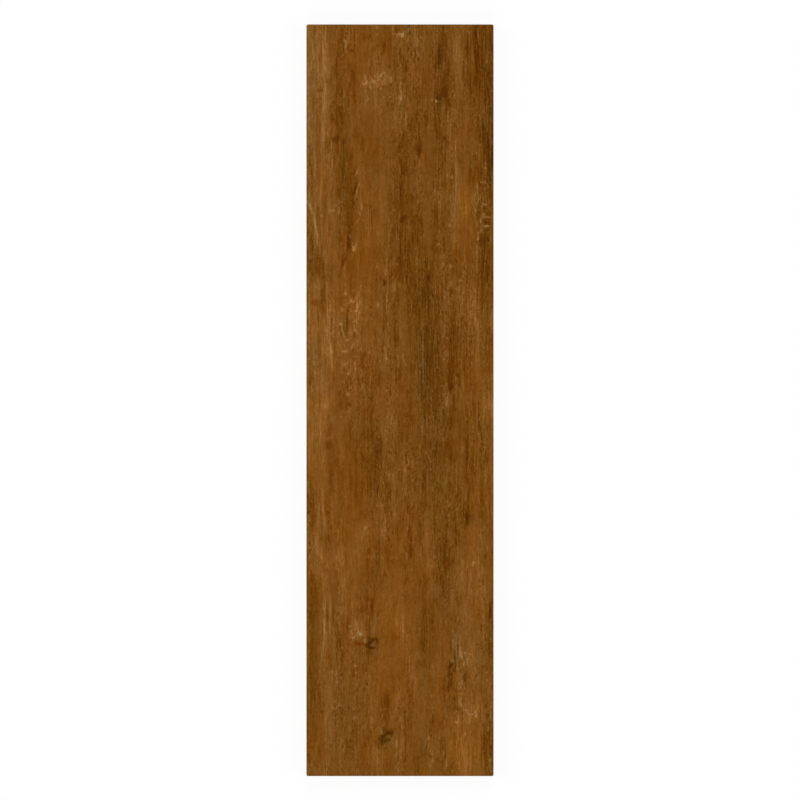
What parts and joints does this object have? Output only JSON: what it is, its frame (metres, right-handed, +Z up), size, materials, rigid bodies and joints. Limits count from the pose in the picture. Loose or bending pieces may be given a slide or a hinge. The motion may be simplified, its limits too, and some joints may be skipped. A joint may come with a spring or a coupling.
{
  "type": "porcelain plank floor tile",
  "caption": "Long plank-format porcelain floor tile with a printed brown wood-grain face, eased glazed edges and a honeycomb-keyed back for adhesive.",
  "frame": {"origin": "centre of the plane in which the back's border and ribs lie", "axes": "+Z up through the glazed face, +Y along the plank, +X across it"},
  "size_m": [0.1494, 0.6, 0.0085],
  "materials": {
    "fired_porcelain": "satin"
  },
  "bodies": {
    "root": {"plank_tile": "fired_porcelain"}
  },
  "joints": []
}
